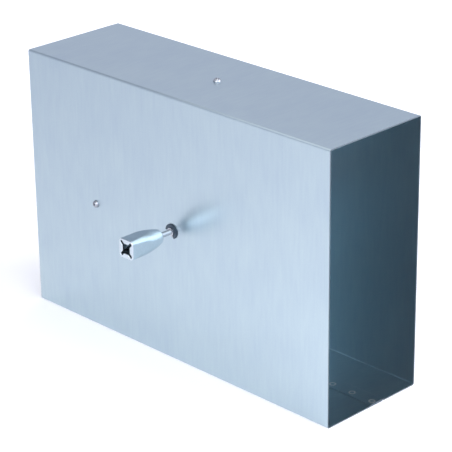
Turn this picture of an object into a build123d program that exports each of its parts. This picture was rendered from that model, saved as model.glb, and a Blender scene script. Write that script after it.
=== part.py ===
from build123d import *
from math import radians, sqrt, tan
import os

os.makedirs("parts", exist_ok=True)

# Volume control damper for a flat rectangular duct.
# X runs along the duct, the wall with the drive socket faces -Y, and the sleeve stands on
# its underside at Z = 0. One blade turns on a spindle that runs from front to back (Y).

# Sleeve: one galvanised sheet folded round the duct, lapped and spot welded underneath
duct_length = 300.0
duct_height = 200.0           # clear, inside
duct_depth = 88.0             # clear, inside
sleeve_sheet = 0.8
fold_radius = 0.7             # inside radius of the four folds
lap_width = 12.0
lap_offset = 5.0              # from the middle of the underside to the middle of the lap
joggle_length = 1.2           # the upper layer steps down to the underside over this length
joggle_gap = 0.3              # between the lower layer's edge and the step
joggle_radius = 0.5           # of the sheet's middle line

# Spindle: turned steel rod with a thin nose that carries the drive socket
spindle_diameter = 6.0
nose_diameter = 4.0
groove_diameter = 5.0
groove_play = 0.02            # the groove is wider than its clip by this much on each side
groove_land = 0.9             # rod left beyond a groove
spindle_chamfer = 0.3
nose_seat = 12.0              # length of the nose inside the drive socket

# Retaining clips: E-shaped, one outside each wall
clip_diameter = 11.3
clip_thickness = 0.7
clip_gap = 0.15               # between a clip and its wall
clip_mouth_half_angle = 60.0
clip_seat_clearance = 0.03
clip_notch_radius = 3.2       # middle line of the two reliefs
clip_notch_width = 1.8
clip_notch_start = 6.0        # degrees round from the clip's own X axis
clip_notch_sweep = 52.0
clip_corner = 0.35
front_clip_turn = -34.0       # the front clip's mouth points down and to the left

# Bushes: flanged plastic, flange inside the duct
bush_barrel_diameter = 8.0
bush_flange_diameter = 12.0
bush_flange = 1.0
bush_hole_clearance = 0.03
running_clearance = 0.05      # radial, between spindle and bush

# Washers on the spindle, inside the duct
washer_diameter = 12.0
washer_bore = 6.3
washer_thickness = 0.5
end_play = 0.15               # between a bush flange and the washer beside it
spring_diameter = 11.0
spring_bore = 6.4
spring_sheet = 0.5
spring_height = 1.2           # as fitted, squeezed between blade and washer

# Blade: flat sheet with a pressed channel for the spindle and a folded hem at each tip
blade_sheet = 1.0
blade_tip_gap = 0.7           # from a tip to the lap on the duct's floor
blade_side_gap = 1.0          # from a side edge to the wall
channel_clearance = 0.05
channel_toe_radius = 1.8      # where the channel meets the flat, on the sheet's middle line
hem_width = 8.0
hem_gap = 0.2                 # between the two layers of a hem
notch_height = 16.0           # relief at the side edges for bush and washers
notch_clearance = 0.05

# Saddles: straps that clamp the spindle into the channel
saddle_sheet = 1.0
saddle_width = 12.0
saddle_inset = 17.0           # from the blade's side edge to the middle of a saddle
saddle_toe_radius = 1.4
saddle_reach = 13.5           # from the spindle's axis to a foot's end
saddle_corner = 2.0
rivet_offset = 9.3            # from the spindle's axis to a rivet
rivet_diameter = 3.0
rivet_hole_clearance = 0.05
rivet_head_diameter = 5.6
rivet_head_height = 1.1
rivet_tail_diameter = 4.8
rivet_tail_height = 0.8

# Drive socket: tapered round body, four flats and a square mouth with slit corners
socket_start = 12.2           # from the wall to the neck
socket_length = 31.3
socket_diameter = 17.6
socket_flats = 14.2           # across the flats at the mouth
flats_draft = 2.7             # degrees by which each flat leans out towards the neck
socket_neck_diameter = 10.2
socket_neck_bevel = 1.2
socket_swell = 20.8           # length over which the body grows to its full diameter
socket_edge = 0.5             # bevel round the mouth
flank_steps = 2               # narrow cones that follow the flank's arc
nose_fit = 0.02
nose_bore_spare = 0.8         # bore left beyond the end of the nose
key_size = 7.2
key_depth = 16.0
slit_width = 1.65
slit_span = 14.1              # tip to tip, across the corners of the square
slit_depth = 12.0

# Stop screws: self-tapping, pan head, driven in from outside
screw_diameter = 2.9
screw_length = 9.5
screw_tip_length = 2.0
screw_tip_diameter = 0.8
screw_head_diameter = 5.6
screw_head_height = 2.2
screw_head_side = 1.1
screw_head_bevel = 0.9
screw_hole_clearance = 0.03
recess_span = 3.0
recess_width = 0.8
recess_depth = 1.2
stop_gap = 0.05               # between the blade and the screw that it rests against
side_stop_reach = 80.4        # from the spindle's axis to the side stop screw

# Places that follow from the sizes above
outer_height = duct_height + 2 * sleeve_sheet
outer_depth = duct_depth + 2 * sleeve_sheet
front = -outer_depth / 2
back = outer_depth / 2
inner_front = front + sleeve_sheet
inner_back = back - sleeve_sheet
axis_z = outer_height / 2

spindle_radius = spindle_diameter / 2
blade_front = inner_front + blade_side_gap
blade_back = inner_back - blade_side_gap
blade_half_height = duct_height / 2 - sleeve_sheet - blade_tip_gap
saddle_places = (blade_front + saddle_inset, blade_back - saddle_inset)
front_stack = bush_flange + end_play + washer_thickness
back_stack = front_stack + spring_height
stop_offset = blade_sheet / 2 + stop_gap + screw_diameter / 2
socket_tip = socket_start + socket_length


def section_at(y):
    """Plane across the spindle at y: local X along the duct, local Y up, facing the front."""
    return Plane(origin=(0, y, axis_z), x_dir=(1, 0, 0), z_dir=(0, -1, 0))


def profile_plane(seat):
    """Plane through a seat's normal: local X is the radius, local Y the height above it."""
    return Plane(origin=seat.origin, x_dir=seat.x_dir, z_dir=-seat.y_dir)


front_wall = section_at(front)
back_wall = Plane(origin=(0, back, axis_z), x_dir=(-1, 0, 0), z_dir=(0, 1, 0))
top_stop_seat = Plane(origin=(stop_offset, 0, outer_height), x_dir=(1, 0, 0), z_dir=(0, 0, 1))
side_stop_seat = Plane(
    origin=(-side_stop_reach, front, axis_z - stop_offset), x_dir=(1, 0, 0), z_dir=(0, -1, 0)
)


def save(piece, name):
    piece.part.label = name
    export_step(piece.part, f"parts/{name}.step")


def half_strap(side, flat_x, wrap_radius, toe_radius, reach):
    """Middle line of a sheet's upper half: flat on x = flat_x, then round the spindle on one
    side of it, with a tangent toe between."""
    toe_x = flat_x + side * toe_radius
    toe_y = sqrt((wrap_radius + toe_radius) ** 2 - toe_x**2)
    touch = Vector(toe_x, toe_y) * (wrap_radius / (wrap_radius + toe_radius))
    Line((flat_x, reach), (flat_x, toe_y))
    TangentArc((flat_x, toe_y), touch, tangent=(0, -1))
    TangentArc((side * wrap_radius, 0), touch, tangent=(0, 1))


# Sleeve
with BuildPart() as sleeve:
    middle = sleeve_sheet / 2
    lap_front = lap_offset - lap_width / 2
    lap_back = lap_offset + lap_width / 2
    step_start = lap_back + joggle_gap
    step_end = step_start + joggle_length
    with BuildSketch(Plane.YZ) as sleeve_section:
        with BuildLine() as folded_line:
            FilletPolyline(
                (step_end, middle),
                (back - middle, middle),
                (back - middle, outer_height - middle),
                (front + middle, outer_height - middle),
                (front + middle, middle),
                (lap_back, middle),
                radius=fold_radius + middle,
            )
        trace(line_width=sleeve_sheet)
        with BuildLine() as upper_layer:
            FilletPolyline(
                (lap_front, middle + sleeve_sheet),
                (step_start, middle + sleeve_sheet),
                (step_end, middle),
                (step_end + sleeve_sheet, middle),
                radius=joggle_radius,
            )
        trace(line_width=sleeve_sheet)
    extrude(amount=duct_length / 2, both=True)
    with BuildSketch(front_wall) as spindle_holes:
        Circle(bush_barrel_diameter / 2 + bush_hole_clearance)
    extrude(amount=-outer_depth, mode=Mode.SUBTRACT)
    for seat in (top_stop_seat, side_stop_seat):
        with BuildSketch(seat) as screw_hole:
            Circle(screw_diameter / 2 + screw_hole_clearance)
        extrude(amount=-2 * sleeve_sheet, mode=Mode.SUBTRACT)
save(sleeve, "sleeve")


# Bushes, pushed out through each wall from inside
def make_bush(wall):
    with BuildPart() as bush:
        with BuildSketch(wall) as barrel:
            Circle(bush_barrel_diameter / 2)
        extrude(amount=-sleeve_sheet)
        with BuildSketch(wall.offset(-sleeve_sheet)) as flange:
            Circle(bush_flange_diameter / 2)
        extrude(amount=-bush_flange)
        with BuildSketch(wall) as bore:
            Circle(spindle_radius + running_clearance)
        extrude(amount=-sleeve_sheet - bush_flange, mode=Mode.SUBTRACT)
    return bush


save(make_bush(front_wall), "front_bush")
save(make_bush(back_wall), "rear_bush")


# Stop screws
def make_stop_screw(seat, recess_turn):
    head_radius = screw_head_diameter / 2
    with BuildPart() as screw:
        with BuildSketch(profile_plane(seat)) as screw_profile:
            Polygon(
                (0, screw_head_height),
                (0, -screw_length),
                (screw_tip_diameter / 2, -screw_length),
                (screw_diameter / 2, -screw_length + screw_tip_length),
                (screw_diameter / 2, 0),
                (head_radius, 0),
                (head_radius, screw_head_side),
                (head_radius - screw_head_bevel, screw_head_height),
                align=None,
            )
        revolve(axis=Axis(seat.origin, seat.z_dir))
        with BuildSketch(seat.offset(screw_head_height)) as recess:
            Rectangle(recess_span, recess_width, rotation=recess_turn)
            Rectangle(recess_width, recess_span, rotation=recess_turn)
        extrude(amount=-recess_depth, mode=Mode.SUBTRACT)
    return screw


save(make_stop_screw(top_stop_seat, recess_turn=20), "top_stop_screw")
save(make_stop_screw(side_stop_seat, recess_turn=38), "side_stop_screw")


# Blade
with BuildPart() as blade:
    hem_turn = (blade_sheet + hem_gap) / 2
    hem_top = blade_half_height - hem_turn - blade_sheet / 2
    with BuildSketch(section_at(blade_back)) as blade_section:
        with BuildLine() as blade_line:
            half_strap(
                -1, 0, spindle_radius + channel_clearance + blade_sheet / 2,
                channel_toe_radius, hem_top,
            )
            mirror(about=Plane.XZ)
            for side in (1, -1):
                CenterArc((-side * hem_turn, side * hem_top), hem_turn, 90 - side * 90, 180)
                Line(
                    (-side * 2 * hem_turn, side * hem_top),
                    (-side * 2 * hem_turn, side * (hem_top - hem_width)),
                )
        trace(line_width=blade_sheet)
    extrude(amount=blade_back - blade_front)
    for wall, stack in ((front_wall, front_stack), (back_wall, back_stack)):
        with BuildSketch(wall) as side_notch:
            Rectangle(2 * washer_diameter, notch_height)
        extrude(amount=-sleeve_sheet - stack - notch_clearance, mode=Mode.SUBTRACT)
    with BuildSketch(Plane.YZ) as rivet_holes:
        for y in saddle_places:
            with Locations((y, axis_z - rivet_offset), (y, axis_z + rivet_offset)):
                Circle(rivet_diameter / 2 + rivet_hole_clearance)
    extrude(amount=blade_sheet, both=True, mode=Mode.SUBTRACT)
save(blade, "blade")


# Spindle
with BuildPart() as spindle:
    groove_near = clip_gap - groove_play
    groove_far = clip_gap + clip_thickness + groove_play
    nose_shoulder = front - groove_far - groove_land
    nose_end = front - socket_start - nose_seat
    rear_end = back + groove_far + groove_land
    nose_radius = nose_diameter / 2
    groove_radius = groove_diameter / 2
    with BuildSketch(Plane.XY.offset(axis_z)) as spindle_profile:
        Polygon(
            (0, nose_end),
            (nose_radius, nose_end),
            (nose_radius, nose_shoulder),
            (spindle_radius, nose_shoulder),
            (spindle_radius, front - groove_far),
            (groove_radius, front - groove_far),
            (groove_radius, front - groove_near),
            (spindle_radius, front - groove_near),
            (spindle_radius, back + groove_near),
            (groove_radius, back + groove_near),
            (groove_radius, back + groove_far),
            (spindle_radius, back + groove_far),
            (spindle_radius, rear_end),
            (0, rear_end),
            align=None,
        )
        corners = spindle_profile.vertices().filter_by(lambda v: v.X > nose_radius / 2)
        chamfer([corners.sort_by(Axis.Y)[0], corners.sort_by(Axis.Y)[-1]], spindle_chamfer)
    revolve(axis=Axis((0, 0, axis_z), (0, 1, 0)))
save(spindle, "spindle")


# Retaining clips, each pushed on sideways into its groove
def make_clip(wall, turn):
    far = 2 * clip_diameter
    with BuildPart() as clip:
        with BuildSketch(wall.offset(clip_gap)) as clip_outline:
            Circle(clip_diameter / 2)
            Circle(groove_diameter / 2 + clip_seat_clearance, mode=Mode.SUBTRACT)
            for start in (clip_notch_start, 180 - clip_notch_start - clip_notch_sweep):
                relief = CenterArc(
                    (0, 0), clip_notch_radius, turn + start, clip_notch_sweep, mode=Mode.PRIVATE
                )
                SlotArc(relief, clip_notch_width, mode=Mode.SUBTRACT)
            with BuildLine():
                left = PolarLine((0, 0), far, turn - 90 - clip_mouth_half_angle)
                right = PolarLine((0, 0), far, turn - 90 + clip_mouth_half_angle)
                Line(left @ 1, right @ 1)
            make_face(mode=Mode.SUBTRACT)
            fillet(
                clip_outline.vertices().filter_by(
                    lambda v: abs(Vector(v).length - clip_diameter / 2) < clip_corner
                ),
                clip_corner,
            )
        extrude(amount=clip_thickness)
    return clip


save(make_clip(front_wall, front_clip_turn), "front_clip")
save(make_clip(back_wall, 0), "rear_clip")


# Thrust washers
def make_washer(wall):
    with BuildPart() as washer:
        with BuildSketch(wall.offset(-sleeve_sheet - bush_flange - end_play)) as ring:
            Circle(washer_diameter / 2)
            Circle(washer_bore / 2, mode=Mode.SUBTRACT)
        extrude(amount=-washer_thickness)
    return washer


save(make_washer(front_wall), "front_thrust_washer")
save(make_washer(back_wall), "rear_thrust_washer")

# Spring washer: a flat ring bowed about the duct's long axis
with BuildPart() as spring_washer:
    with BuildSketch(back_wall.offset(-sleeve_sheet - front_stack)) as spring_ring:
        Circle(spring_diameter / 2)
        Circle(spring_bore / 2, mode=Mode.SUBTRACT)
    extrude(amount=-spring_height)
    spring_back = inner_back - front_stack
    spring_bow = spring_height - spring_sheet
    with BuildSketch(Plane.YZ) as bow_section:
        with BuildLine() as bow_line:
            ThreePointArc(
                (spring_back - spring_sheet / 2, axis_z - spring_diameter / 2),
                (spring_back - spring_sheet / 2 - spring_bow, axis_z),
                (spring_back - spring_sheet / 2, axis_z + spring_diameter / 2),
            )
        trace(line_width=spring_sheet)
    extrude(amount=spring_diameter, both=True, mode=Mode.INTERSECT)
save(spring_washer, "spring_washer")


# Saddles
def make_saddle(y):
    foot_x = (blade_sheet + saddle_sheet) / 2
    with BuildPart() as saddle:
        with BuildSketch(section_at(y + saddle_width / 2)) as saddle_section:
            with BuildLine():
                half_strap(
                    1, foot_x, spindle_radius + channel_clearance + saddle_sheet / 2,
                    saddle_toe_radius, saddle_reach,
                )
                mirror(about=Plane.XZ)
            trace(line_width=saddle_sheet)
        extrude(amount=saddle_width)
        foot_ends = saddle.edges().filter_by(Axis.X).group_by(Axis.Z)
        fillet(foot_ends[0] + foot_ends[-1], saddle_corner)
        with BuildSketch(Plane.YZ) as saddle_holes:
            with Locations((y, axis_z - rivet_offset), (y, axis_z + rivet_offset)):
                Circle(rivet_diameter / 2 + rivet_hole_clearance)
        extrude(amount=blade_sheet + saddle_sheet, mode=Mode.SUBTRACT)
    return saddle


save(make_saddle(saddle_places[0]), "front_saddle")
save(make_saddle(saddle_places[1]), "rear_saddle")


# Rivets: head on the saddle, closed tail on the other side of the blade
def make_rivets(y):
    head_x = blade_sheet / 2 + saddle_sheet
    tail_x = -blade_sheet / 2
    with BuildPart() as rivets:
        for z in (axis_z - rivet_offset, axis_z + rivet_offset):
            with BuildSketch(Plane.XY.offset(z)) as rivet_profile:
                Polygon(
                    (head_x + rivet_head_height, y),
                    (head_x + rivet_head_height, y + rivet_head_diameter / 2),
                    (head_x, y + rivet_head_diameter / 2),
                    (head_x, y + rivet_diameter / 2),
                    (tail_x, y + rivet_diameter / 2),
                    (tail_x, y + rivet_tail_diameter / 2),
                    (tail_x - rivet_tail_height, y + rivet_tail_diameter / 2),
                    (tail_x - rivet_tail_height, y),
                    align=None,
                )
            revolve(axis=Axis((0, y, z), (1, 0, 0)))
    return rivets


save(make_rivets(saddle_places[0]), "front_saddle_rivets")
save(make_rivets(saddle_places[1]), "rear_saddle_rivets")

# Drive socket
with BuildPart() as drive_socket:
    socket_radius = socket_diameter / 2
    flank = TangentArc(
        (socket_radius, socket_start + socket_swell),
        (socket_neck_diameter / 2, socket_start),
        tangent=(0, -1),
        mode=Mode.PRIVATE,
    )
    with BuildSketch(profile_plane(front_wall)) as socket_profile:
        with BuildLine():
            Polyline(
                (0, socket_start),
                (0, socket_tip),
                (socket_radius, socket_tip),
                *[flank @ (step / flank_steps) for step in range(flank_steps + 1)],
                close=True,
            )
        make_face()
        neck_corner = socket_profile.vertices().sort_by_distance(flank @ 1)[0]
        chamfer(neck_corner, socket_neck_bevel)
    revolve(axis=Axis(front_wall.origin, front_wall.z_dir))
    flats_growth = 2 * socket_length * tan(radians(flats_draft))
    with BuildSketch(front_wall.offset(socket_start)) as flats:
        Rectangle(socket_flats + flats_growth, socket_flats + flats_growth)
    extrude(amount=socket_length, taper=flats_draft, mode=Mode.INTERSECT)
    chamfer(drive_socket.faces().sort_by(Axis.Y)[0].edges(), socket_edge)
    with BuildSketch(front_wall.offset(socket_tip)) as key_square:
        Rectangle(key_size, key_size)
    extrude(amount=-key_depth, mode=Mode.SUBTRACT)
    with BuildSketch(front_wall.offset(socket_tip)) as corner_slits:
        for turn in (45, 135):
            SlotOverall(slit_span, slit_width, rotation=turn)
    extrude(amount=-slit_depth, mode=Mode.SUBTRACT)
    with BuildSketch(front_wall.offset(socket_start)) as nose_bore:
        Circle(nose_diameter / 2 + nose_fit)
    extrude(amount=nose_seat + nose_bore_spare, mode=Mode.SUBTRACT)
save(drive_socket, "drive_socket")
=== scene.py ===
import math

import bmesh
import bpy
from mathutils import Matrix, Vector


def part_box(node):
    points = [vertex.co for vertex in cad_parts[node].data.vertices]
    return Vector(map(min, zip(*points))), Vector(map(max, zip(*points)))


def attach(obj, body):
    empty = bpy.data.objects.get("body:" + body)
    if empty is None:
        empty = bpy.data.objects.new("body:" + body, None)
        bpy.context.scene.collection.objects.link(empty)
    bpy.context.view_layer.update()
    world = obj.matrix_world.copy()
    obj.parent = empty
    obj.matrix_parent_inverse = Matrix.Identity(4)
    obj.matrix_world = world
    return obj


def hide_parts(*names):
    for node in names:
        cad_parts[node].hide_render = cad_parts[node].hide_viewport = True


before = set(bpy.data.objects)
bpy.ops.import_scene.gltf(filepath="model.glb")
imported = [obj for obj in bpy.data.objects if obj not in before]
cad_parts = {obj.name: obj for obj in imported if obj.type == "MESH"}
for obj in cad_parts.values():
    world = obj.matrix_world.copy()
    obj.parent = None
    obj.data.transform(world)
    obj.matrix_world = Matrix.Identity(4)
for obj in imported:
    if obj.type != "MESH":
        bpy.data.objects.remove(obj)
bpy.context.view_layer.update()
scene = bpy.context.scene
mm = 0.001


# Camera: a long lens, a little above the duct and off its right end (metres and degrees)
camera = {
    "place": (0.94863, -0.92307, 0.65657),
    "heading": 45.51, "dip": 23.14, "roll": -0.763,
    "lens": 159.0, "sensor": 36.0, "near": 0.05, "far": 60,
}

cameraData = bpy.data.cameras.new("camera")
cameraData.lens = camera["lens"]
cameraData.sensor_width = camera["sensor"]
cameraData.clip_start = camera["near"]
cameraData.clip_end = camera["far"]
cameraObject = bpy.data.objects.new("camera", cameraData)
scene.collection.objects.link(cameraObject)
aim = (
    Matrix.Rotation(math.radians(camera["heading"]), 4, "Z")
    @ Matrix.Rotation(math.radians(90 - camera["dip"]), 4, "X")
    @ Matrix.Rotation(math.radians(camera["roll"]), 4, "Z")
)
cameraObject.matrix_world = Matrix.Translation(camera["place"]) @ aim
scene.camera = cameraObject
scene.view_settings.view_transform = "Standard"
print("camera placed")


# Materials. Patterns read Object coordinates, so they sit still on the piece
def startMaterial(name):
    material = bpy.data.materials.new(name)
    material.use_nodes = True
    tree = material.node_tree
    return material, tree, tree.nodes["Principled BSDF"]


def addNode(tree, kind, **settings):
    # a setting goes to the socket of that name, or else to the node itself
    node = tree.nodes.new(kind)
    for key, value in settings.items():
        if key in node.inputs:
            node.inputs[key].default_value = value
        else:
            setattr(node, key, value)
    return node


def stretchedNoise(tree, stretch, scale, detail, roughness):
    # noise drawn out along the directions whose stretch is small
    place = addNode(tree, "ShaderNodeTexCoord")
    mapping = addNode(tree, "ShaderNodeMapping", Scale=stretch)
    noise = addNode(
        tree, "ShaderNodeTexNoise", Scale=scale, Detail=detail, Roughness=roughness,
    )
    tree.links.new(place.outputs["Object"], mapping.inputs["Vector"])
    tree.links.new(mapping.outputs["Vector"], noise.inputs["Vector"])
    return noise.outputs["Fac"]


def spread(tree, source, low, high, fromLow=0.3, fromHigh=0.7):
    # most of a noise lies from 0.3 to 0.7, and is spread over the range a socket needs
    ranged = addNode(tree, "ShaderNodeMapRange")
    ranged.inputs["From Min"].default_value = fromLow
    ranged.inputs["From Max"].default_value = fromHigh
    ranged.inputs["To Min"].default_value = low
    ranged.inputs["To Max"].default_value = high
    tree.links.new(source, ranged.inputs["Value"])
    return ranged.outputs["Result"]


def combine(tree, operation, first, second):
    maths = addNode(tree, "ShaderNodeMath", operation=operation)
    for socket, value in zip(maths.inputs, (first, second)):
        if isinstance(value, (int, float)):
            socket.default_value = value
        else:
            tree.links.new(value, socket)
    return maths.outputs[0]


def tint(tree, source, dark, light):
    ramp = addNode(tree, "ShaderNodeValToRGB")
    ramp.color_ramp.elements[0].color = (*dark, 1)
    ramp.color_ramp.elements[1].color = (*light, 1)
    tree.links.new(source, ramp.inputs["Fac"])
    return ramp.outputs["Color"]


def objectAxis(tree, axis):
    place = addNode(tree, "ShaderNodeTexCoord")
    split = addNode(tree, "ShaderNodeSeparateXYZ")
    tree.links.new(place.outputs["Object"], split.inputs[0])
    return split.outputs[axis]


ripples = {"strength": 0.05, "distance": 0.1 * mm}


def ripple(tree, shader, height):
    bump = addNode(
        tree, "ShaderNodeBump", Strength=ripples["strength"], Distance=ripples["distance"],
    )
    tree.links.new(height, bump.inputs["Height"])
    tree.links.new(bump.outputs["Normal"], shader.inputs["Normal"])


# each pattern has a stretch, a scale and a share: rolling marks round the girth, long and
# short, then soft clouds and a fine grain
sheetLook = {
    "name": "galvanisedSheet", "dark": (0.438, 0.533, 0.606), "light": (0.542, 0.645, 0.664),
    "roughness": (0.276, 0.29), "mixedRange": (0.2, 0.8), "detail": 1, "fineShare": 0.4,
    "patterns": (
        ((1, 0.5, 0.35), 90, 0.25), ((1, 0.15, 0.1), 450, 0.3),
        ((1, 1, 1), 28, 0.2), ((1, 1, 1), 1300, 0.25),
    ),
    # the sheared ends' colour is bare steel darkened to a painted shade, as dark as the shaded
    # edge line
    "bareAndShadedEnds": (0.13, 0.165, 0.19), "shearedFrom": 149.9 * mm, "shearedDulling": 0.2,
}


def galvanisedSheet(look):
    material, tree, shader = startMaterial(look["name"])
    mixed = None
    for stretch, scale, share in look["patterns"]:
        noise = stretchedNoise(tree, stretch, scale, look["detail"], look["fineShare"])
        layer = combine(tree, "MULTIPLY", noise, share)
        mixed = layer if mixed is None else combine(tree, "ADD", mixed, layer)
    zinc = tint(tree, spread(tree, mixed, 0, 1, *look["mixedRange"]), look["dark"], look["light"])

    # the sheared ends of the sheet are bare and dull, and their colour is darkened further as
    # painted shade;
    # a mix node's colours are its inputs 6 and 7 and its output 2
    reach = combine(tree, "ABSOLUTE", objectAxis(tree, "X"), 0)
    bareAndShadedEnds = combine(tree, "GREATER_THAN", reach, look["shearedFrom"])
    bareAndShadeMix = addNode(tree, "ShaderNodeMix", data_type="RGBA")
    bareAndShadeMix.inputs[7].default_value = (*look["bareAndShadedEnds"], 1)
    tree.links.new(bareAndShadedEnds, bareAndShadeMix.inputs[0])
    tree.links.new(zinc, bareAndShadeMix.inputs[6])
    tree.links.new(bareAndShadeMix.outputs[2], shader.inputs["Base Color"])
    dulling = combine(tree, "MULTIPLY", bareAndShadedEnds, look["shearedDulling"])
    roughness = combine(tree, "ADD", spread(tree, mixed, *look["roughness"]), dulling)
    tree.links.new(roughness, shader.inputs["Roughness"])
    shader.inputs["Metallic"].default_value = 1
    return material


metalGrain = {"detail": 3, "fineShare": 0.55}

metalLooks = {
    "polished_zinc": {
        "name": "polishedZinc", "dark": (0.59, 0.66, 0.70), "light": (0.67, 0.745, 0.785),
        "roughness": (0.15, 0.22), "scale": 90, "stretch": (1, 1, 1),
    },
    "bright_steel": {
        "name": "brightSteel", "dark": (0.48, 0.50, 0.53), "light": (0.60, 0.62, 0.64),
        "roughness": (0.12, 0.22), "scale": 60, "stretch": (1, 60, 1),
    },
    "black_spring_steel": {
        "name": "blackSpringSteel", "dark": (0.05, 0.07, 0.09), "light": (0.10, 0.13, 0.16),
        "roughness": (0.28, 0.38), "scale": 700, "stretch": (1, 1, 1),
    },
    "zinc_plated_steel": {
        "name": "zincPlatedSteel", "dark": (0.32, 0.34, 0.37), "light": (0.48, 0.50, 0.53),
        "roughness": (0.2, 0.27), "scale": 500, "stretch": (1, 1, 1),
    },
    "weld_mark": {
        "name": "weldMark", "dark": (0.86, 0.85, 0.84), "light": (0.97, 0.96, 0.95),
        "roughness": (0.4, 0.5), "scale": 900, "stretch": (1, 1, 1),
    },
}


def plainMetal(look):
    material, tree, shader = startMaterial(look["name"])
    noise = stretchedNoise(
        tree, look["stretch"], look["scale"], metalGrain["detail"], metalGrain["fineShare"],
    )
    colour = tint(tree, spread(tree, noise, 0, 1), look["dark"], look["light"])
    tree.links.new(colour, shader.inputs["Base Color"])
    tree.links.new(spread(tree, noise, *look["roughness"]), shader.inputs["Roughness"])
    shader.inputs["Metallic"].default_value = 1
    ripple(tree, shader, noise)
    return material


nylonLook = {
    "name": "naturalNylon", "dark": (0.72, 0.71, 0.66), "light": (0.80, 0.79, 0.75),
    "roughness": 0.42, "scale": 160, "detail": 3, "fineShare": 0.5,
    "glowShare": 0.15, "glowDepth": (2 * mm, 2 * mm, 1.5 * mm),
}


def mouldedNylon(look):
    material, tree, shader = startMaterial(look["name"])
    cloud = stretchedNoise(tree, (1, 1, 1), look["scale"], look["detail"], look["fineShare"])
    colour = tint(tree, cloud, look["dark"], look["light"])
    tree.links.new(colour, shader.inputs["Base Color"])
    shader.inputs["Roughness"].default_value = look["roughness"]
    shader.inputs["Subsurface Weight"].default_value = look["glowShare"]
    shader.inputs["Subsurface Radius"].default_value = look["glowDepth"]
    ripple(tree, shader, cloud)
    return material


finishes = {"galvanised_sheet": galvanisedSheet(sheetLook)}
for finish, look in metalLooks.items():
    finishes[finish] = plainMetal(look)
finishes["nylon"] = mouldedNylon(nylonLook)
print("materials made:", len(finishes))

nodesOfSlot = {
    "galvanised_sheet": ("sleeve", "blade"),
    "nylon": ("front_bush", "rear_bush"),
    "zinc_plated_steel": (
        "top_stop_screw", "side_stop_screw", "front_thrust_washer", "rear_thrust_washer",
        "front_saddle", "rear_saddle", "front_saddle_rivets", "rear_saddle_rivets",
    ),
    "bright_steel": ("spindle",),
    "black_spring_steel": ("front_clip", "rear_clip", "spring_washer"),
    "polished_zinc": ("drive_socket",),
}
for finish, names in nodesOfSlot.items():
    for name in names:
        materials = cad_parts[name].data.materials
        materials.clear()
        materials.append(finishes[finish])


# Building pieces. A profile lies in the XZ plane and is spun about Z
def point(radius, height):
    return Vector((radius, 0, height))


def profileLine(bm, points):
    made = [bm.verts.new(p) for p in points]
    for first, second in zip(made, made[1:]):
        bm.edges.new((first, second))
    return made


def spinRound(bm, steps):
    bmesh.ops.spin(
        bm, geom=bm.verts[:] + bm.edges[:], cent=(0, 0, 0), axis=(0, 0, 1), dvec=(0, 0, 0),
        angle=2 * math.pi, steps=steps, use_merge=True,
    )
    bmesh.ops.remove_doubles(bm, verts=bm.verts, dist=0.002 * mm)
    bmesh.ops.recalc_face_normals(bm, faces=bm.faces)


def flatten(bm, angle):
    # faces that meet at less than the angle become one
    bmesh.ops.dissolve_limit(
        bm, angle_limit=math.radians(angle), verts=bm.verts, edges=bm.edges,
        use_dissolve_boundaries=False,
    )


def roundEdges(bm, edges, width, segments):
    bmesh.ops.bevel(
        bm, geom=edges, offset=width, offset_type="OFFSET", affect="EDGES",
        segments=segments, profile=0.5, material=-1,
    )


def creases(bm, angle):
    return [edge for edge in bm.edges if edge.calc_face_angle(0) > math.radians(angle)]


def onlyVerts(items):
    return [item for item in items if isinstance(item, bmesh.types.BMVert)]


def onlyEdges(items):
    return [item for item in items if isinstance(item, bmesh.types.BMEdge)]


def makeObject(bm, name):
    data = bpy.data.meshes.new(name)
    bm.to_mesh(data)
    bm.free()
    made = bpy.data.objects.new(name, data)
    scene.collection.objects.link(made)
    return made


def settle(made):
    # modifiers become plain mesh
    bpy.context.view_layer.update()
    evaluated = made.evaluated_get(bpy.context.evaluated_depsgraph_get())
    data = bpy.data.meshes.new_from_object(evaluated)
    made.modifiers.clear()
    made.data = data


def carve(made, cutter):
    cut = made.modifiers.new("cut", "BOOLEAN")
    cut.operation = "DIFFERENCE"
    cut.solver = "EXACT"
    cut.use_self = True
    cut.object = cutter
    settle(made)
    bpy.data.objects.remove(cutter)


def castSkin(made, grain, softening):
    # even skin whose edges are soft all round, as a die casting's are
    skin = made.modifiers.new("skin", "REMESH")
    skin.mode = "VOXEL"
    skin.voxel_size = grain
    settle(made)
    bm = bmesh.new()
    bm.from_mesh(made.data)
    for _ in range(softening):
        bmesh.ops.smooth_vert(
            bm, verts=bm.verts, factor=0.5, use_axis_x=True, use_axis_y=True, use_axis_z=True,
        )
    bm.to_mesh(made.data)
    bm.free()


def placePiece(made, finish, body, stands=(), smoothAngle=30):
    # stands names the solids that the piece is shown in place of
    made.data.materials.clear()
    made.data.materials.append(finishes[finish])
    made.data.shade_smooth()
    made.data.set_sharp_from_angle(angle=math.radians(smoothAngle))
    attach(made, body)
    if stands:
        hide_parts(*stands)


# Seats: local Z points away from the wall
def seatOn(wallNormal, centre):
    turned = Vector(wallNormal).to_track_quat("Z", "Y").to_matrix().to_4x4()
    return Matrix.Translation(centre) @ turned


# Drive socket
driveSocket = {
    "length": 31.3 * mm, "diameter": 17.6 * mm, "flats": 14.2 * mm, "draft": 2.7,
    "neck": 10.2 * mm, "swell": 20.8 * mm, "flankSteps": 24, "neckRound": 1.1 * mm,
    "key": 7.2 * mm, "keyDepth": 16 * mm, "slitWidth": 2.1 * mm, "slitSpan": 14.9 * mm,
    "slitDepth": 12 * mm, "bore": 4.04 * mm, "boreDepth": 12.8 * mm, "cutBeyond": 2 * mm,
    "spinSteps": 96, "slitSides": 20, "boreSides": 32, "grain": 0.22 * mm, "softening": 5,
    "flatAngle": 0.5, "creaseAngle": 12, "level": 0.01 * mm, "neckSegments": 4,
}


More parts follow.
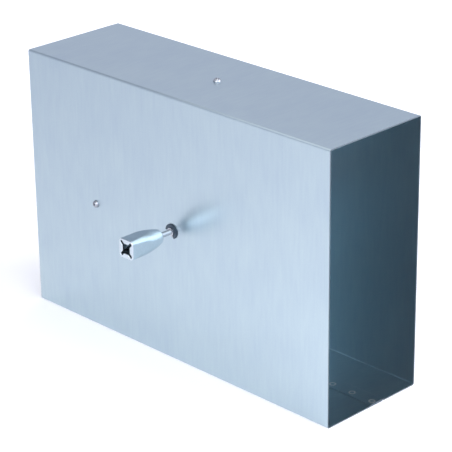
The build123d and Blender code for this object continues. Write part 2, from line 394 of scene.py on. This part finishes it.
def makeDriveSocket(size):
    low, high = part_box("drive_socket")
    neckEnd = Vector((0, high.y, (low.z + high.z) / 2))
    seat = seatOn((0, -1, 0), neckEnd)
    radius, neck = size["diameter"] / 2, size["neck"] / 2
    drop = radius - neck
    flankRadius = (drop ** 2 + size["swell"] ** 2) / (2 * drop)

    bm = bmesh.new()
    shoulder = bm.verts.new(point(radius, size["swell"]))
    swung = bmesh.ops.spin(
        bm, geom=[shoulder], cent=point(radius - flankRadius, size["swell"]), axis=(0, 1, 0),
        dvec=(0, 0, 0), angle=math.asin(size["swell"] / flankRadius), steps=size["flankSteps"],
    )
    neckVert = onlyVerts(swung["geom_last"])[0]
    mouth = profileLine(bm, [point(radius, size["length"]), point(0, size["length"])])
    bm.edges.new((shoulder, mouth[0]))
    bm.edges.new((neckVert, bm.verts.new(point(0, 0))))
    spinRound(bm, size["spinSteps"])

    # four flats, each leaning out towards the neck
    draft = math.radians(size["draft"])
    for turn in range(4):
        turned = Matrix.Rotation(math.radians(90 * turn), 3, "Z")
        cut = bmesh.ops.bisect_plane(
            bm, geom=bm.verts[:] + bm.edges[:] + bm.faces[:], dist=1e-7,
            plane_co=turned @ point(size["flats"] / 2, size["length"]),
            plane_no=turned @ Vector((math.cos(draft), 0, math.sin(draft))), clear_outer=True,
        )
        bmesh.ops.contextual_create(bm, geom=onlyEdges(cut["geom_cut"]))
    flatten(bm, size["flatAngle"])
    bmesh.ops.recalc_face_normals(bm, faces=bm.faces)
    neckEdges = [
        edge for edge in creases(bm, size["creaseAngle"])
        if max(vert.co.z for vert in edge.verts) < size["level"]
    ]
    roundEdges(bm, neckEdges, size["neckRound"], size["neckSegments"])
    made = makeObject(bm, "driveSocket")

    # square key hole, slits through its corners and the bore for the rod's nose
    tool = bmesh.new()
    over = size["cutBeyond"]
    depth = size["keyDepth"] + over
    middle = size["length"] + over - depth / 2
    bmesh.ops.create_cube(
        tool, size=1,
        matrix=Matrix.Translation((0, 0, middle))
        @ Matrix.Diagonal((size["key"], size["key"], depth, 1)),
    )
    depth = size["slitDepth"] + over
    middle = size["length"] + over - depth / 2
    reach = size["slitSpan"] - size["slitWidth"]
    for turn in (45, 135):
        turned = Matrix.Rotation(math.radians(turn), 4, "Z") @ Matrix.Translation((0, 0, middle))
        bmesh.ops.create_cube(
            tool, size=1, matrix=turned @ Matrix.Diagonal((reach, size["slitWidth"], depth, 1)),
        )
        for side in (-1, 1):
            bmesh.ops.create_cone(
                tool, cap_ends=True, segments=size["slitSides"], radius1=size["slitWidth"] / 2,
                radius2=size["slitWidth"] / 2, depth=depth,
                matrix=turned @ Matrix.Translation((side * reach / 2, 0, 0)),
            )
    depth = size["boreDepth"] + over
    bmesh.ops.create_cone(
        tool, cap_ends=True, segments=size["boreSides"], radius1=size["bore"] / 2,
        radius2=size["bore"] / 2, depth=depth,
        matrix=Matrix.Translation((0, 0, depth / 2 - over)),
    )
    carve(made, makeObject(tool, "socketTool"))
    castSkin(made, size["grain"], size["softening"])
    made.data.transform(seat)
    placePiece(made, "polished_zinc", "blade", ["drive_socket"], smoothAngle=180)


makeDriveSocket(driveSocket)
print("drive socket made")


# Stop screws: pan head, cross recess, coarse self-tapping thread
stopScrew = {
    "headRadius": 2.8 * mm, "headHeight": 2.2 * mm, "headSide": 0.75 * mm, "crown": 1.7 * mm,
    "crownRound": 0.55 * mm, "rimRound": 0.15 * mm, "crownSegments": 4, "rimSegments": 2,
    "coreRadius": 1.08 * mm, "length": 9.5 * mm, "tipLength": 2 * mm,
    "tipRadius": 0.25 * mm, "tipBlunt": 0.1 * mm,
    "threadRadius": 1.45 * mm, "threadRoot": 0.93, "threadStart": -0.35 * mm,
    "threadFade": 0.7, "pitch": 1.1 * mm, "ridge": 0.24 * mm, "stepsPerTurn": 20,
    "recessSpan": 3.0 * mm, "recessWidth": 0.75 * mm, "recessDepth": 1.3 * mm,
    "recessTaper": 0.45, "spinSteps": 48, "creaseAngle": 20, "level": 0.01 * mm,
    "rimBeyond": 2 * mm,
}


def makeStopScrew(size, name, node, outward, recessTurn):
    low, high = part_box(node)
    middle = (low + high) / 2
    if outward[2]:
        seat = seatOn(outward, (middle.x, middle.y, high.z - size["headHeight"]))
    else:
        seat = seatOn(outward, (middle.x, low.y + size["headHeight"], middle.z))

    bm = bmesh.new()
    profileLine(bm, [
        point(0, size["headHeight"]),
        point(size["crown"], size["headHeight"]),
        point(size["headRadius"], size["headSide"]),
        point(size["headRadius"], 0),
        point(size["coreRadius"], 0),
        point(size["coreRadius"], size["tipLength"] - size["length"]),
        point(size["tipRadius"], size["tipBlunt"] - size["length"]),
        point(0, -size["length"]),
    ])
    spinRound(bm, size["spinSteps"])
    crownEdges = [
        edge for edge in creases(bm, size["creaseAngle"])
        if min(vert.co.z for vert in edge.verts) > size["headSide"] / 2
    ]
    roundEdges(bm, crownEdges, size["crownRound"], size["crownSegments"])
    rimEdges = [
        edge for edge in creases(bm, size["creaseAngle"])
        if max(abs(vert.co.z) for vert in edge.verts) < size["level"]
        and edge.verts[0].co.length > size["rimBeyond"]
    ]
    roundEdges(bm, rimEdges, size["rimRound"], size["rimSegments"])
    made = makeObject(bm, name)

    tool = bmesh.new()
    arms = (size["recessSpan"], size["recessWidth"], 2 * size["recessDepth"], 1)
    for turn in (recessTurn, recessTurn + 90):
        arm = bmesh.ops.create_cube(
            tool, size=1,
            matrix=Matrix.Translation((0, 0, size["headHeight"]))
            @ Matrix.Rotation(math.radians(turn), 4, "Z")
            @ Matrix.Diagonal(arms),
        )
        # the arms narrow towards the bottom
        lower = [vert for vert in arm["verts"] if vert.co.z < size["headHeight"]]
        taper = size["recessTaper"]
        bmesh.ops.scale(tool, verts=lower, vec=(taper, taper, 1), space=Matrix.Identity(4))
    carve(made, makeObject(tool, "recessTool"))

    ridge = bmesh.new()
    start = size["threadStart"]
    root = size["coreRadius"] * size["threadRoot"]
    turns = (size["length"] - size["tipLength"] + start) / size["pitch"]
    corner = profileLine(ridge, [
        point(root, start + size["ridge"]),
        point(size["threadRadius"], start),
        point(root, start - size["ridge"]),
    ])
    ridge.edges.new((corner[2], corner[0]))
    steps = round(turns * size["stepsPerTurn"])
    wound = bmesh.ops.spin(
        ridge, geom=ridge.verts[:] + ridge.edges[:], cent=(0, 0, 0), axis=(0, 0, 1),
        dvec=(0, 0, -size["pitch"] / size["stepsPerTurn"]),
        angle=2 * math.pi * turns, steps=steps,
    )
    # the ridge fades out on the point
    fade = size["threadFade"]
    bmesh.ops.scale(
        ridge, verts=onlyVerts(wound["geom_last"]), vec=(fade, fade, 1),
        space=Matrix.Identity(4),
    )
    bmesh.ops.holes_fill(ridge, edges=ridge.edges, sides=3)
    bmesh.ops.recalc_face_normals(ridge, faces=ridge.faces)
    ridge.from_mesh(made.data)
    ridge.to_mesh(made.data)
    ridge.free()
    made.data.transform(seat)
    placePiece(made, "zinc_plated_steel", "sleeve", [node])


makeStopScrew(stopScrew, "topStopScrew", "top_stop_screw", (0, 0, 1), 20)
makeStopScrew(stopScrew, "sideStopScrew", "side_stop_screw", (0, -1, 0), 38)
print("stop screws made")


# Blind rivets: domed head with the snapped stem in its hole, pulled tail behind the blade
rivet = {
    "headRadius": 2.8 * mm, "headHeight": 1.1 * mm, "stemRadius": 0.85 * mm,
    "shankRadius": 1.5 * mm, "tailRadius": 2.4 * mm, "tailHeight": 0.8 * mm, "spinSteps": 36,
    # shares of a radius and of a height, from the middle out
    "stemProfile": ((0, 0.62), (0.9, 0.55), (1, 0.98)),
    "headProfile": ((0.52, 0.93), (0.76, 0.72), (0.95, 0.38), (1, 0.14), (0.97, 0)),
    # and back in again behind the blade
    "tailProfile": ((0.92, 0), (1, 0.35), (0.9, 0.75), (0.6, 1), (0, 1)),
}


def makeRivets(size, name, node):
    low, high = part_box(node)
    middle = (low + high) / 2
    grip = high.x - low.x - size["headHeight"] - size["tailHeight"]
    profile = []
    for out, up in size["stemProfile"]:
        profile.append(point(size["stemRadius"] * out, size["headHeight"] * up))
    for out, up in size["headProfile"]:
        profile.append(point(size["headRadius"] * out, size["headHeight"] * up))
    profile += [point(size["shankRadius"], 0), point(size["shankRadius"], -grip)]
    for out, down in size["tailProfile"]:
        profile.append(point(size["tailRadius"] * out, -grip - size["tailHeight"] * down))

    bm = bmesh.new()
    for z in (low.z + size["headRadius"], high.z - size["headRadius"]):
        one = bmesh.new()
        profileLine(one, profile)
        spinRound(one, size["spinSteps"])
        seat = seatOn((1, 0, 0), (high.x - size["headHeight"], middle.y, z))
        bmesh.ops.transform(one, matrix=seat, verts=one.verts)
        pressed = bpy.data.meshes.new("one")
        one.to_mesh(pressed)
        one.free()
        bm.from_mesh(pressed)
    placePiece(makeObject(bm, name), "zinc_plated_steel", "blade", [node], smoothAngle=40)


makeRivets(rivet, "frontSaddleRivets", "front_saddle_rivets")
makeRivets(rivet, "rearSaddleRivets", "rear_saddle_rivets")
print("rivets made")


# Pieces that keep their shape and get broken edges
softEdges = {
    "front_clip": ("frontClip", "black_spring_steel", "blade", 0.09 * mm),
    "rear_clip": ("rearClip", "black_spring_steel", "blade", 0.09 * mm),
    "spring_washer": ("springWasher", "black_spring_steel", "blade", 0.06 * mm),
    "front_thrust_washer": ("frontThrustWasher", "zinc_plated_steel", "blade", 0.08 * mm),
    "rear_thrust_washer": ("rearThrustWasher", "zinc_plated_steel", "blade", 0.08 * mm),
    "front_bush": ("frontBush", "nylon", "sleeve", 0.18 * mm),
    "rear_bush": ("rearBush", "nylon", "sleeve", 0.18 * mm),
    "front_saddle": ("frontSaddle", "zinc_plated_steel", "blade", 0.12 * mm),
    "rear_saddle": ("rearSaddle", "zinc_plated_steel", "blade", 0.12 * mm),
    "spindle": ("turnedSpindle", "bright_steel", "blade", 0.06 * mm),
}


edgeBreak = {"merge": 0.001 * mm, "flatAngle": 0.8, "creaseAngle": 35, "segments": 2}


def softenPiece(node, name, finish, body, width):
    bm = bmesh.new()
    bm.from_mesh(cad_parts[node].data)
    bmesh.ops.remove_doubles(bm, verts=bm.verts, dist=edgeBreak["merge"])
    flatten(bm, edgeBreak["flatAngle"])
    roundEdges(bm, creases(bm, edgeBreak["creaseAngle"]), width, edgeBreak["segments"])
    placePiece(makeObject(bm, name), finish, body, [node])


for node, (name, finish, body, width) in softEdges.items():
    softenPiece(node, name, finish, body, width)
print("edges broken on", len(softEdges), "pieces")


# Spot welds along the lap: shallow rings left by the electrodes
spotWeld = {
    "count": 17, "pitch": 18.375 * mm, "outer": 2.7 * mm, "crest": 2.1 * mm, "inner": 1.3 * mm,
    "rise": 0.07 * mm, "sunk": 0.02 * mm, "lapMiddle": 3.6 * mm, "floor": 1.6 * mm,
    "segments": 28,
}


def makeSpotWelds(size):
    bm = bmesh.new()
    for place in range(size["count"]):
        x = (place - (size["count"] - 1) / 2) * size["pitch"]
        ring = bmesh.ops.create_circle(
            bm, cap_ends=False, segments=size["segments"], radius=size["outer"],
            matrix=Matrix.Translation((x, size["lapMiddle"], size["floor"] - size["sunk"])),
        )
        rim = list(dict.fromkeys(edge for vert in ring["verts"] for edge in vert.link_edges))
        for radius, height in ((size["crest"], size["rise"]), (size["inner"], -size["sunk"])):
            grown = bmesh.ops.extrude_edge_only(bm, edges=rim)
            verts = onlyVerts(grown["geom"])
            rim = onlyEdges(grown["geom"])
            now = (verts[0].co - Vector((x, size["lapMiddle"], verts[0].co.z))).length
            bmesh.ops.scale(
                bm, verts=verts, vec=(radius / now, radius / now, 1),
                space=Matrix.Translation((-x, -size["lapMiddle"], 0)),
            )
            for vert in verts:
                vert.co.z = size["floor"] + height
    bmesh.ops.recalc_face_normals(bm, faces=bm.faces)
    placePiece(
        makeObject(bm, "spotWelds"), "weld_mark", "sleeve", smoothAngle=60,
    )


makeSpotWelds(spotWeld)
print("spot welds made")


# Studio: pale floor, soft world and soft boxes. The sheet mirrors them, so the floor glows
# more towards the back, and more light from the right reaches into the open end
studio = {
    "floorSize": 60.0, "floorColour": (0.8, 0.8, 0.83),
    "glowNear": 0.1, "glowFar": 0.6, "glowNearPlace": -0.3, "glowFarPlace": 0.6,
    "horizon": (0.655, 0.69, 0.82), "overhead": (0.25, 0.26, 0.31),
    "fadeFrom": 0.5, "fadeTo": 0.77, "rightGain": 2.5, "gainFrom": 0.1, "gainTo": 0.65,
}

world = bpy.data.worlds.new("studioAir")
world.use_nodes = True
scene.world = world
air = world.node_tree
toward = addNode(air, "ShaderNodeSeparateXYZ")
air.links.new(addNode(air, "ShaderNodeTexCoord").outputs["Generated"], toward.inputs[0])
steepness = spread(air, toward.outputs["Z"], 0, 1, studio["fadeFrom"], studio["fadeTo"])
gain = spread(
    air, toward.outputs["X"], 1, studio["rightGain"], studio["gainFrom"], studio["gainTo"],
)
sky = tint(air, steepness, studio["horizon"], studio["overhead"])
air.links.new(gain, air.nodes["Background"].inputs["Strength"])
air.links.new(sky, air.nodes["Background"].inputs["Color"])

floorMesh = bmesh.new()
bmesh.ops.create_grid(floorMesh, x_segments=1, y_segments=1, size=studio["floorSize"] / 2)
floorData = bpy.data.meshes.new("floor")
floorMesh.to_mesh(floorData)
floorMesh.free()
floor = bpy.data.objects.new("floor", floorData)
scene.collection.objects.link(floor)

paleFloor, tree, shader = startMaterial("paleFloor")
tree.nodes.remove(shader)
matt = addNode(tree, "ShaderNodeBsdfDiffuse", Color=(*studio["floorColour"], 1))
path = addNode(tree, "ShaderNodeLightPath")
glow = addNode(tree, "ShaderNodeEmission")
seen = combine(tree, "MAXIMUM", path.outputs["Is Camera Ray"], path.outputs["Is Glossy Ray"])
seen = combine(tree, "MAXIMUM", seen, path.outputs["Is Transmission Ray"])
fading = spread(
    tree, objectAxis(tree, "Y"), studio["glowNear"], studio["glowFar"],
    studio["glowNearPlace"], studio["glowFarPlace"],
)
tree.links.new(combine(tree, "MULTIPLY", seen, fading), glow.inputs["Strength"])
both = addNode(tree, "ShaderNodeAddShader")
tree.links.new(matt.outputs[0], both.inputs[0])
tree.links.new(glow.outputs[0], both.inputs[1])
tree.links.new(both.outputs[0], tree.nodes["Material Output"].inputs["Surface"])
floorData.materials.append(paleFloor)

softBoxes = {
    "keyBox": {
        "place": (0.55, -0.52, 0.78), "target": (0, -0.05, 0.1), "size": (0.9, 0.6),
        "power": 2.5,
    },
    "frontBox": {
        "place": (0.2, -1.1, 0.42), "target": (0, -0.05, 0.1), "size": (1.0, 0.6),
        "power": 4.0,
    },
    "topBox": {
        "place": (0.05, -0.12, 0.5), "target": (0.05, -0.12, 0), "size": (0.6, 0.6),
        "power": 0.8,
    },
    "backBox": {
        "place": (-0.3, 0.6, 2.4), "target": (-0.5, 0.6, 0), "size": (0.9, 0.9),
        "power": 11.0,
    },
    "rightBox": {
        "place": (1.2, 0.75, 0.6), "target": (0.15, 0, 0.1), "size": (1.2, 0.8),
        "power": 13.0,
    },
}
for name, box in softBoxes.items():
    lamp = bpy.data.lights.new(name, "AREA")
    lamp.shape = "RECTANGLE"
    lamp.size, lamp.size_y = box["size"]
    lamp.energy = box["power"]
    holder = bpy.data.objects.new(name, lamp)
    holder.visible_camera = False
    scene.collection.objects.link(holder)
    holder.location = box["place"]
    toTarget = Vector(box["target"]) - Vector(box["place"])
    holder.rotation_euler = toTarget.to_track_quat("-Z", "Y").to_euler()
print("studio lit")
